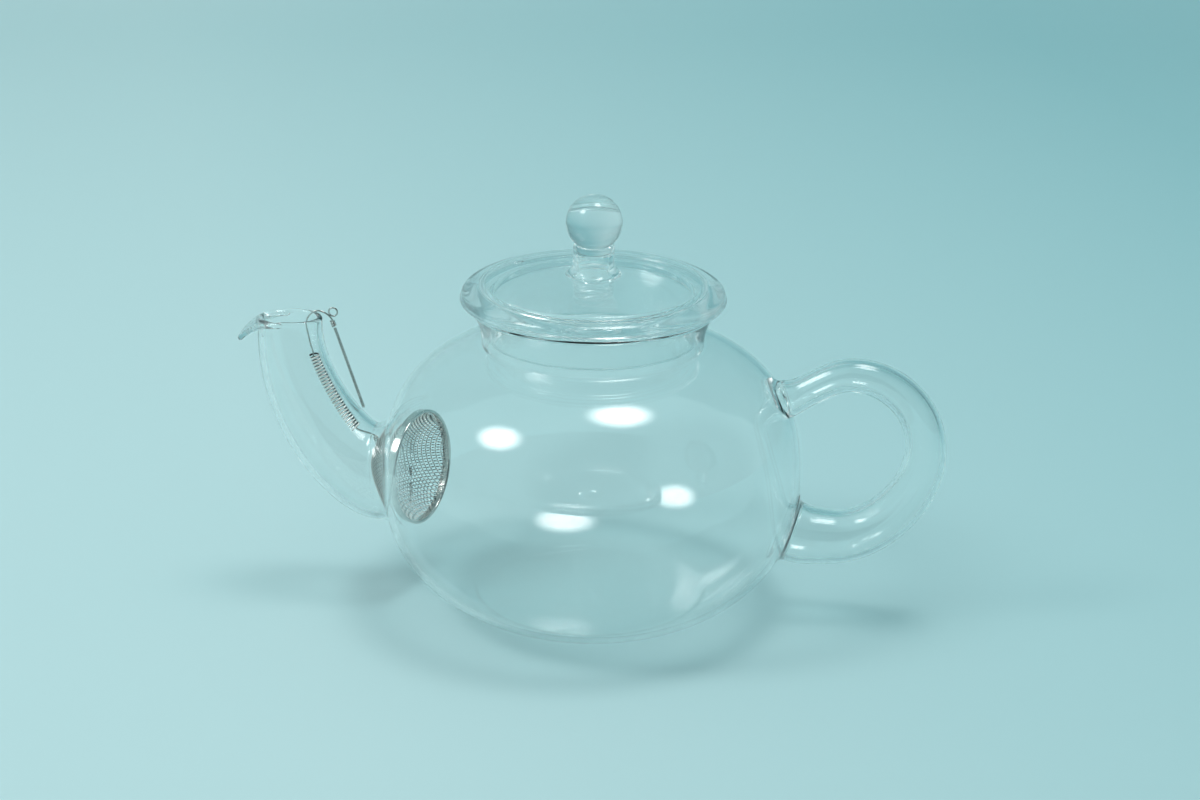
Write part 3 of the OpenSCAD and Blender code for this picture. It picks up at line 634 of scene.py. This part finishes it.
def handle_course():
    """Centre, direction and radius of each ring, from inside the upper weld to inside the lower one."""
    course, total = [], sum(spans)
    for s, curve in enumerate(handle_curves):
        for i in range(0 if s == 0 else 1, spans[s] * FINE + 1):
            t = i / (spans[s] * FINE)
            u = (sum(spans[:s]) + spans[s] * t) / total
            radius = TOP_R + (LOW_R - TOP_R) * u ** 1.6 + 1.1 * max(0, 1 - u / 0.07) ** 2
            course.append((bezier(curve, t), bezier_dir(curve, t), radius))
    start = collar(upper_seam, upper_dir, course[0][2], 1)[::-1]
    return start + course + collar(lower_seam, -lower_dir, course[-1][2], -1)


course = handle_course()
print("handle rings:", len(course))

# %% Handle welded to the bowl
def tube(name, course, inset, sides=64):
    points = []
    for c, d, r in course:
        middle, out = Vector((c[0], 0, c[1])), Vector((-d[1], 0, d[0]))
        for k in range(sides):
            turn = 2 * math.pi * k / sides
            outward = math.cos(turn) * out + math.sin(turn) * Vector((0, 1, 0))
            points.append(tuple((middle + (r - inset) * outward) * MM))
    ends = [tuple(range(sides)), tuple((len(course) - 1) * sides + k for k in range(sides))]
    return close_up(new_mesh(name, points, band(len(course), sides, False) + ends))


def bore_radius(i, r):
    """The bore doesn't flare with the collars."""
    if i < COLLAR_STEPS:
        return min(r, course[COLLAR_STEPS][2])
    if i >= len(course) - COLLAR_STEPS:
        return min(r, course[-COLLAR_STEPS - 1][2])
    return r


bore = [(c, d, bore_radius(i, r)) for i, (c, d, r) in enumerate(course)]
handle = tube("handle_shell", course, 0)
combine(handle, tube("handle_bore", bore, TUBE_T), "DIFFERENCE")
inset_lip = [(MOUTH_R - 1, mouth_z + 1), (0, mouth_z + 1)]
smaller = Matrix.Diagonal((0.996, 0.996, 0.996, 1))
combine(handle, revolve("bowl_inset", bowl_outline(0.0, 0, inset_lip), BOWL_SIDES, smaller), "DIFFERENCE")
combine(pot, handle, "UNION")
print("pot triangles:", triangles(pot))

# %% [markdown]
# ### Dressing
# Each piece gets its smooth shading, its material and its material slot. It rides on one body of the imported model,
# and names the plain nodes that it stands for, so those are hidden.

# %% Dress the pot
def ride(piece, body, replaced=()):
    """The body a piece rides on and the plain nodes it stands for."""
    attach(piece, body)
    if replaced:
        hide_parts(*replaced)


def dress(piece, material, body, replaced, angle=35):
    """Smooth shading with sharp corners kept, a material, and the rest as in ride."""
    piece.data.shade_smooth()
    piece.data.set_sharp_from_angle(angle=math.radians(angle))
    piece.data.materials.clear()
    piece.data.materials.append(material)
    ride(piece, body, replaced)


dress(pot, pot_glass, "pot",
      ["bowl", "mouth", "spout", "handle", "handle_upper_collar", "handle_lower_collar"])
print("dressed:", pot.name)

# %% [markdown]
# ## The lid
# The lid is one turned piece: ball, ring, hollow stem, low dome, seat ring and the skirt that hangs into the neck.
# A single outline, turned once, gives a closed wall all the way round. Only the steam hole is cut afterwards.

# %% Sizes and arcs of the lid
LID_R, LID_T, SEAT_Z, SKIRT_R, SKIRT_H, DOME_H = 45.4, 1.8, mouth_z + 1.3, 35.3, 13.0, 7.7
STEM_R, STEM_H, RING_T, BALL_R = 7.0, 7.4, 2.9, 9.6
SHOULDER = 0.8
dome_z, dome_r = SEAT_Z + LID_T, LID_R - 0.4
ring_z = dome_z + DOME_H + STEM_H
ball_z = ring_z + RING_T + math.sqrt(BALL_R ** 2 - (STEM_R - 1) ** 2)


def arc(cr, cz, r, start, end, steps, squash=1.0):
    turns = [math.radians(start + (end - start) * i / steps) for i in range(steps + 1)]
    return [(cr + r * math.cos(a), cz + r * squash * math.sin(a)) for a in turns]


def dome_arc(inset, start, end, steps):
    """The dome's section: an arch with a full shoulder."""
    turns = [math.radians(start + (end - start) * i / steps) for i in range(steps + 1)]
    return [((dome_r - inset) * math.cos(a), dome_z + (DOME_H - inset) * math.sin(a) ** SHOULDER) for a in turns]


print("lid's top in mm:", round(ball_z + BALL_R, 1))

# %% Outside of the lid, from the ball to the skirt's foot
ball_end = -math.degrees(math.acos((STEM_R - 1) / BALL_R))
stem_foot, stem_steps = ring_z - 2.4, [math.radians(a) for a in range(10, 81, 10)]
dome_from = math.degrees(math.acos((STEM_R + 2.6) / dome_r))
lid_outline = [(0, ball_z + BALL_R)] + arc(0, ball_z, BALL_R, 88, ball_end, 40)
lid_outline += arc(STEM_R - 0.6, ring_z + RING_T / 2, 0.7, 78, -78, 12, RING_T / 1.4)
lid_outline += [(STEM_R, ring_z - 0.2), (STEM_R, stem_foot)]
lid_outline += [(STEM_R + 2.2 * (1 - math.cos(a)), stem_foot - 4.4 * math.sin(a)) for a in stem_steps]
lid_outline += dome_arc(0, dome_from, 0, 48)
lid_outline += arc(LID_R - LID_T / 2, SEAT_Z + LID_T / 2, LID_T / 2, 40, -90, 10)
lid_outline += arc(SKIRT_R + 0.8, SEAT_Z - 0.8, 0.8, 90, 180, 5)
lid_outline += arc(SKIRT_R - LID_T / 2, SEAT_Z - SKIRT_H + LID_T / 2, LID_T / 2, 0, -180, 12)
print("outside points:", len(lid_outline))

# %% Inside of the lid, from the skirt up into the stem
HOLLOW_R, HOLLOW_BEND, STEM_BEND, CROWN_BEND = 37.0, 1.55, 2.6, 1.2
bore_r = STEM_R - LID_T
dome_to = math.degrees(math.acos((bore_r + 3.0) / (dome_r - LID_T)))
lid_outline += arc(SKIRT_R - LID_T + 1.4, dome_z - 1.4, 1.4, 180, 90, 6)
lid_outline += arc(HOLLOW_R, dome_z + HOLLOW_BEND, HOLLOW_BEND, -90, 60, 10)
lid_outline += dome_arc(LID_T, 31, dome_to, 36)
lid_outline += arc(bore_r + STEM_BEND, lid_outline[-1][1] + 4.0, STEM_BEND, 262, 180, 9, 1.5)
lid_outline += [(bore_r, ring_z - CROWN_BEND)]
lid_outline += arc(bore_r - CROWN_BEND, ring_z - CROWN_BEND, CROWN_BEND, 0, 90, 5)[1:] + [(0, ring_z)]
print("all points:", len(lid_outline))

# %% The lid with its steam hole
HOLE_R, HOLE_AT, HOLE_TURN = 1.6, 31, math.radians(153)
lid = revolve("lid_glass", lid_outline, BOWL_SIDES)
hole_place = Matrix.Rotation(HOLE_TURN, 4, "Z") @ Matrix.Translation((HOLE_AT, 0, 0))
hole = [(0, dome_z - 1), (HOLE_R, dome_z - 1), (HOLE_R, dome_z + 9), (0, dome_z + 9)]
combine(lid, revolve("steam_hole", hole, 40, hole_place), "DIFFERENCE")
dress(lid, lid_glass, "lid",
      ["lid_dome", "lid_seat_ring", "lid_skirt", "lid_knob_stem", "lid_knob_ring", "lid_knob"])
print("lid triangles:", triangles(lid))

# %% [markdown]
# ## The woven cup
# The strainer is cut from plain woven wire cloth and pressed into a dome, so each wire keeps its own straight course
# seen from above, and rises and dips past every wire it crosses. That is a rule, so Geometry Nodes lay the wires:
# a row of points carries one line each, and a formula lifts the lines onto the dome and waves them over and under.

# %% Helpers for node trees
def geometry_tree(name, inputs):
    """A Geometry Nodes group and its two end nodes, with add_node, number and vector tied to it."""
    group, first, last = node_group("GeometryNodeTree", name, [("Geometry", GEOMETRY, None)] + inputs,
                                    [("Geometry", GEOMETRY)])
    return group, first, last, *[partial(helper, group) for helper in (add_node, number, vector)]


def swept(path, radius, corners, add):
    """A round wire along a path."""
    section = add("GeometryNodeCurvePrimitiveCircle", {"Resolution": corners, "Radius": radius})
    return add("GeometryNodeCurveToMesh",
               {"Curve": path, "Profile Curve": section.outputs[0], "Fill Caps": True}).outputs[0]


def finish_tree(group, shape, source, last, add):
    """Ends a tree in smooth shading, real geometry and its material."""
    smooth = add("GeometryNodeSetShadeSmooth", {"Geometry": shape})
    real = add("GeometryNodeRealizeInstances", {"Geometry": smooth.outputs[0]})
    coat = add("GeometryNodeSetMaterial", {"Geometry": real.outputs[0], "Material": source.outputs["Material"]})
    group.links.new(coat.outputs[0], last.inputs["Geometry"])
    print(group.name, "has", len(group.nodes), "nodes")


def grow(name, points, group, values):
    """Runs a tree on a chain of points in mm and keeps the result as a plain mesh."""
    mesh = bpy.data.meshes.new(name)
    mesh.from_pydata([tuple(Vector(p) * MM) for p in points], [(i, i + 1) for i in range(len(points) - 1)], [])
    piece = put(name, mesh)
    step = piece.modifiers.new("grow", "NODES")
    step.node_group = group
    ids = {s.name: s.identifier for s in group.interface.items_tree if s.in_out == "INPUT"}
    for key, value in values.items():
        step[ids[key]] = value
    print(name, len(plain_copy(piece).polygons), "faces")
    return piece


print("tree helpers: geometry_tree, swept, finish_tree, grow")

# %% [markdown]
# ### The tree of the woven dome
# A wire's distance from the dome's axis gives its height on the dome. A cosine with one half turn per pitch gives
# the weave, and the other set of wires gets the opposite sign. How far a wire is from its mean height is stored
# under the name "outward", and the steel turns it into painted shade: bright on the crossings, dark between them.

# %% Lines of the weave
weave, g_in, g_out, add, calc, vec = geometry_tree("woven_dome", [
    ("Wires", INT, 37), ("Samples", INT, 180), ("Pitch", FLOAT, 0.00102), ("Wire Radius", FLOAT, 0.00018),
    ("Dome Radius", FLOAT, 0.019), ("Dome Depth", FLOAT, 0.018), ("Side", FLOAT, 1.0), ("Material", MATERIAL, None)])
wires_in, pitch_in, radius_in = [g_in.outputs[n] for n in ("Wires", "Pitch", "Dome Radius")]
half_row = calc("MULTIPLY", calc("MULTIPLY", calc("SUBTRACT", wires_in, 1.0), pitch_in), -0.5)
first, step = [add("ShaderNodeCombineXYZ", {0: value}).outputs[0] for value in (half_row, pitch_in)]
row = add("GeometryNodeMeshLine", {"Count": wires_in, "Start Location": first, "Offset": step})
strand = add("GeometryNodeCurvePrimitiveLine", {"Start": (0, -1, 0), "End": (0, 1, 0)})
fine = add("GeometryNodeResampleCurve", {"Curve": strand.outputs[0], "Count": g_in.outputs["Samples"]})
strands = add("GeometryNodeInstanceOnPoints", {"Points": row.outputs[0], "Instance": fine.outputs[0]})
laid = add("GeometryNodeRealizeInstances", {"Geometry": strands.outputs[0]})
print("nodes so far:", len(weave.nodes))

# %% Height and wave of the weave
TRIM, CROWN, ROUNDNESS, LEAN = 0.985, 0.7, 1.3, 0.6
place = add("ShaderNodeSeparateXYZ", {0: add("GeometryNodeInputPosition").outputs[0]})
x = place.outputs[0]
reach = calc("MULTIPLY", radius_in, TRIM)
room_left = calc("SUBTRACT", calc("MULTIPLY", reach, reach), calc("MULTIPLY", x, x))
y = calc("MULTIPLY", place.outputs[1], calc("SQRT", calc("MAXIMUM", room_left, 0.0)))
rho = calc("SQRT", calc("ADD", calc("MULTIPLY", x, x), calc("MULTIPLY", y, y)))
fall = calc("SUBTRACT", 1.0, calc("POWER", calc("DIVIDE", rho, radius_in), 1 / CROWN))
z = calc("MULTIPLY", calc("POWER", fall, 1 / ROUNDNESS), g_in.outputs["Dome Depth"])
wave = calc("COSINE", calc("MULTIPLY", calc("DIVIDE", calc("ADD", x, y), pitch_in), math.pi))
lift = calc("MULTIPLY", calc("MULTIPLY", wave, g_in.outputs["Side"]), g_in.outputs["Wire Radius"])
on_dome = add("ShaderNodeCombineXYZ", {0: x, 1: y, 2: z})
outwards = add("ShaderNodeCombineXYZ", {0: x, 1: y, 2: calc("MULTIPLY", radius_in, LEAN)})
home = vec("ADD", on_dome.outputs[0], vec("SCALE", vec("NORMALIZE", outwards.outputs[0]), lift))
# Stored for painted shade: the steel is darkened where this is low, between the crossings.
weave_shade_mark = add("GeometryNodeStoreNamedAttribute",
               {"Geometry": laid.outputs[0], "Name": "outward", "Value": calc("ABSOLUTE", wave)}, data_type="FLOAT")
lifted = add("GeometryNodeSetPosition", {"Geometry": weave_shade_mark.outputs[0], "Position": home})
finish_tree(weave, swept(lifted.outputs[0], g_in.outputs["Wire Radius"], 4, add), g_in, g_out, add)

# %% Weave the cup
RIM_R, RIM_T, CUP_DEPTH, CUP_SEAT, CUP_SIDE, CUP_LIFT = 20.2, 0.9, 18.2, 14.7, 2.0, 1.6
CUP_TURN, CUP_DROOP = math.radians(18), math.radians(2)
MESH_R = RIM_R - RIM_T - 0.15
cup_place = Matrix.Translation((CUP_SEAT - seam_s, CUP_SIDE, SPOUT_Z + CUP_LIFT))
cup_place = cup_place @ Matrix.Rotation(-CUP_TURN, 4, "Z") @ Matrix.Rotation(-math.pi / 2 - CUP_DROOP, 4, "Y")
cup_place_m = Matrix.Scale(MM, 4) @ cup_place @ Matrix.Scale(1 / MM, 4)
for name, turn, side, node in (("cup_warp_wires", 0, 1.0, "strainer_warp"),
                               ("cup_weft_wires", math.pi / 2, -1.0, "strainer_weft")):
    wires = grow(name, [(0, 0, 0), (0, 0, 1)], weave, {
        "Dome Radius": MESH_R * MM, "Dome Depth": CUP_DEPTH * MM, "Side": side, "Material": weave_steel})
    wires.data.transform(cup_place_m @ Matrix.Rotation(turn, 4, "Z"))
    ride(wires, "strainer", [node])

# %% [markdown]
# ## Spring, hook and links
# A coil spring hides in the spout and keeps the cup in its seat. Its top wire bends over the spout's rim and ends in
# a small finger ring with a doubled tail. One tree winds a wire round any path and stores how far each point faces
# away from the coil's axis, which the spring's steel turns into painted shade on the coil's inner side. A second one
# draws a round wire along a chain of points, softened at the bends.

# %% Tree of a coil
coil, g_in, g_out, add, calc, vec = geometry_tree("wire_coil", [
    ("Turns", FLOAT, 40.0), ("Steps", INT, 961), ("Coil Radius", FLOAT, 0.0016), ("Wire Radius", FLOAT, 0.0003),
    ("Start", FLOAT, 0.0), ("End", FLOAT, 1.0), ("Material", MATERIAL, None)])
path = add("GeometryNodeMeshToCurve", {"Mesh": g_in.outputs["Geometry"]})
fine = add("GeometryNodeResampleCurve", {"Curve": path.outputs[0], "Count": g_in.outputs["Steps"]})
share = add("GeometryNodeSplineParameter").outputs["Factor"]
angle = calc("MULTIPLY", calc("MULTIPLY", share, g_in.outputs["Turns"]), 2 * math.pi)
side = (0.0, 1.0, 0.0)
across = vec("CROSS_PRODUCT", side, add("GeometryNodeInputTangent").outputs[0])
swing = vec("ADD", vec("SCALE", across, calc("COSINE", angle)), vec("SCALE", side, calc("SINE", angle)))
marked = add("GeometryNodeStoreNamedAttribute",
             {"Geometry": fine.outputs[0], "Name": "swing", "Value": swing}, data_type="FLOAT_VECTOR")
wound = add("GeometryNodeSetPosition",
            {"Geometry": marked.outputs[0], "Offset": vec("SCALE", swing, g_in.outputs["Coil Radius"])})
cut = add("GeometryNodeTrimCurve",
          {"Curve": wound.outputs[0], "Start": g_in.outputs["Start"], "End": g_in.outputs["End"]})
body = swept(cut.outputs[0], g_in.outputs["Wire Radius"], 8, add)
stored = add("GeometryNodeInputNamedAttribute", {"Name": "swing"}, data_type="FLOAT_VECTOR")
facing_out = vec("DOT_PRODUCT", add("GeometryNodeInputNormal").outputs[0], stored.outputs["Attribute"])
# Stored for painted shade: the spring's steel is darkened where the wire faces the coil's axis.
coil_shade_mark = add("GeometryNodeStoreNamedAttribute",
           {"Geometry": body, "Name": "outward", "Value": facing_out}, data_type="FLOAT")
finish_tree(coil, coil_shade_mark.outputs[0], g_in, g_out, add)

# %% Tree of a bent wire
bent, g_in, g_out, add, *_ = geometry_tree("bent_wire", [
    ("Wire Radius", FLOAT, 0.0003), ("Steps", INT, 90), ("Material", MATERIAL, None)])
path = add("GeometryNodeMeshToCurve", {"Mesh": g_in.outputs["Geometry"]})
soft = add("GeometryNodeCurveSplineType", {"Curve": path.outputs[0]}, spline_type="CATMULL_ROM")
fine = add("GeometryNodeResampleCurve", {"Curve": soft.outputs[0], "Count": g_in.outputs["Steps"]})
finish_tree(bent, swept(fine.outputs[0], g_in.outputs["Wire Radius"], 10, add), g_in, g_out, add)

# %% [markdown]
# ### The spring in two halves
# The spring is tied to two things that move, and it is made in two halves, the upper and the lower turns.
# Both halves stay where they are made.

# %% The spring
HOOK_Y, WIRE_D, SPRING_POINTS = 4.5, 0.6, 60
SPRING_TURNS, SPRING_COIL_R, SPRING_WIRE_R = 26.0, 1.68, 0.36
spring_top, spring_low = mouth_near + at(-3.9, -13.3), seam + at(-8.8, 14.2)
spring_path = [spring_top, spring_top + at(2.7, -8.5), spring_low + at(-5.5, 6.4), spring_low]


def beside(p):
    """A point of the side view, in the plane of the hook."""
    return Vector((p[0], HOOK_Y, p[1]))


axis = [beside(bezier(spring_path, i / SPRING_POINTS)) for i in range(SPRING_POINTS + 1)]
top_point, middle, low_point = axis[0] * MM, axis[SPRING_POINTS // 2] * MM, axis[-1] * MM
for name, start, end, moving, pulled in (("spring_upper_turns", 0.0, 0.5, "hook", top_point),
                                         ("spring_lower_turns", 0.5, 1.0, "strainer", low_point)):
    turns = grow(name, axis, coil, {
        "Turns": SPRING_TURNS, "Coil Radius": SPRING_COIL_R * MM, "Wire Radius": SPRING_WIRE_R * MM,
        "Start": start, "End": end, "Material": spring_steel})
    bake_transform(turns)
    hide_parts("coil_spring")

# %% Hook and wrap
WRAP_START, TAIL_START, TAIL_LENGTH = 0.8, 3.4, 29.5
wire_values = {"Wire Radius": WIRE_D / 2 * MM, "Material": wire_steel}
hook_corner = mouth_near + at(2.3, -0.1)
tail_dir = at(0.32, -0.95).normalized()
from_spring = ((-0.4, -1.3), (-0.3, 0.2), (-0.6, 1.5))
over_rim = ((-5.1, -9.8), (-5.9, -6.3), (-6.6, -2.9), (-6.4, -0.9), (-5.4, 0.9), (-3.9, 2.2), (-2.1, 2.6),
            (-0.3, 2.1), (1.1, 1.2))
route = [spring_top + at(*p) for p in from_spring] + [mouth_near + at(*p) for p in over_rim]
route += [hook_corner, hook_corner + WRAP_START * tail_dir, hook_corner + 3 * tail_dir]
hook = grow("hook_wire_bent", [beside(p) for p in route], bent, {**wire_values, "Steps": 160})
ride(hook, "hook", ["hook_wire"])
wrap = [beside(hook_corner + (WRAP_START + 0.25 * i) * tail_dir) for i in range(9)]
wrapped = grow("hook_wrap_turns", wrap, coil, {**wire_values, "Turns": 3.0, "Steps": 97, "Coil Radius": 0.65 * MM})
ride(wrapped, "hook", ["hook_wrap"])

# %% Finger ring and doubled tail
TAIL_GAP, TAIL_WIRE_R = 0.27, 0.25


def keep(node, material):
    """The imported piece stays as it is, with a better finish."""
    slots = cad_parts[node].data.materials
    slots.clear()
    slots.append(material)


tail_start, tail_end = hook_corner + TAIL_START * tail_dir, hook_corner + (TAIL_START + TAIL_LENGTH) * tail_dir
square, tail_middle = at(tail_dir[1], -tail_dir[0]), (tail_start + tail_end) / 2
turn_back = [math.radians(a) for a in range(-90, 91, 30)]
tail = [tail_start - TAIL_GAP * square, tail_middle - TAIL_GAP * square]
tail += [tail_end + TAIL_GAP * (math.sin(a) * square + math.cos(a) * tail_dir) for a in turn_back]
tail += [tail_middle + TAIL_GAP * square, tail_start + TAIL_GAP * square]
tail_values = {**wire_values, "Wire Radius": TAIL_WIRE_R * MM, "Steps": 120}
doubled = grow("hook_tail_doubled", [beside(p) for p in tail], bent, tail_values)
ride(doubled, "hook", ["hook_tail"])
keep("finger_ring", wire_steel)

# %% [markdown]
# ### Cap, link and rim
# The cup hangs from a small button on its dome. A link wire runs from the spring's last turns through the button's
# eye, and the button's other wire passes through the weave and hangs free inside. The rim is a rolled band of
# polished sheet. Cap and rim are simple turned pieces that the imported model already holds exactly.

# %% Where the cap sits on the dome
CAP_X, CAP_Y, MESH_D, CAP_LIFT, EYE_LIFT = 6.75, 0.75, 0.36, 0.15, 1.40


def dome_depth(r):
    return CUP_DEPTH * (1 - min(1, r / MESH_R) ** (1 / CROWN)) ** (1 / ROUNDNESS)


def dome_point(px, py, above, step=0.02):
    r = math.hypot(px, py)
    slope = (dome_depth(r + step) - dome_depth(r - step)) / (2 * step)
    n = Vector((-slope * px / r, -slope * py / r, 1)).normalized()
    return Vector((px, py, dome_depth(r))) + above * n


cap_base = dome_point(CAP_X, CAP_Y, MESH_D + CAP_LIFT)
cap_axis = (dome_point(CAP_X, CAP_Y, 1) - dome_point(CAP_X, CAP_Y, 0)).normalized()
eye_at = cap_base + (EYE_LIFT + WIRE_D / 2) * cap_axis
eye_turn = math.atan2(cap_axis[1], cap_axis[0])
eye = cup_place @ eye_at
through = cup_place @ (eye_at + Vector((-math.sin(eye_turn), math.cos(eye_turn), 0))) - eye
out = cup_place @ (eye_at + cap_axis) - eye
print("eye at in mm:", [round(v, 1) for v in eye])

# %% Link wire, anchor wire, cap and rim
low = beside(spring_low)
link = [low + Vector(p) for p in ((-1.2, 0.7, 1.6), (-0.2, 0.3, 0), (1, 0.2, -1))]
hooked = ((0.85, 1.7), (1.1, 0.7), (0.6, 0), (-0.5, 0), (-1.05, 0.5), (-1.05, 1.2))
link += [eye + a * through + b * out for a, b in hooked]
linked = grow("link_wire_bent", link, bent, {**wire_values, "Steps": 100})
ride(linked, "strainer", ["link_wire"])
inside = [dome_point(CAP_X, CAP_Y, MESH_D + 0.1), dome_point(CAP_X, CAP_Y, -1.2),
          dome_point(CAP_X, CAP_Y, -2.4) + Vector((0.8, 0, -0.8))]
inside += [Vector((CAP_X + dx, CAP_Y, z)) for dx, z in ((1, 9.6), (-0.8, 8.2), (-4, 7.6), (-10, 7.2))]
anchor = grow("anchor_wire_bent", [cup_place @ p for p in inside], bent, {**wire_values, "Steps": 90})
ride(anchor, "strainer", ["strainer_anchor"])
keep("strainer_cap", rim_steel)
keep("strainer_rim", rim_steel)
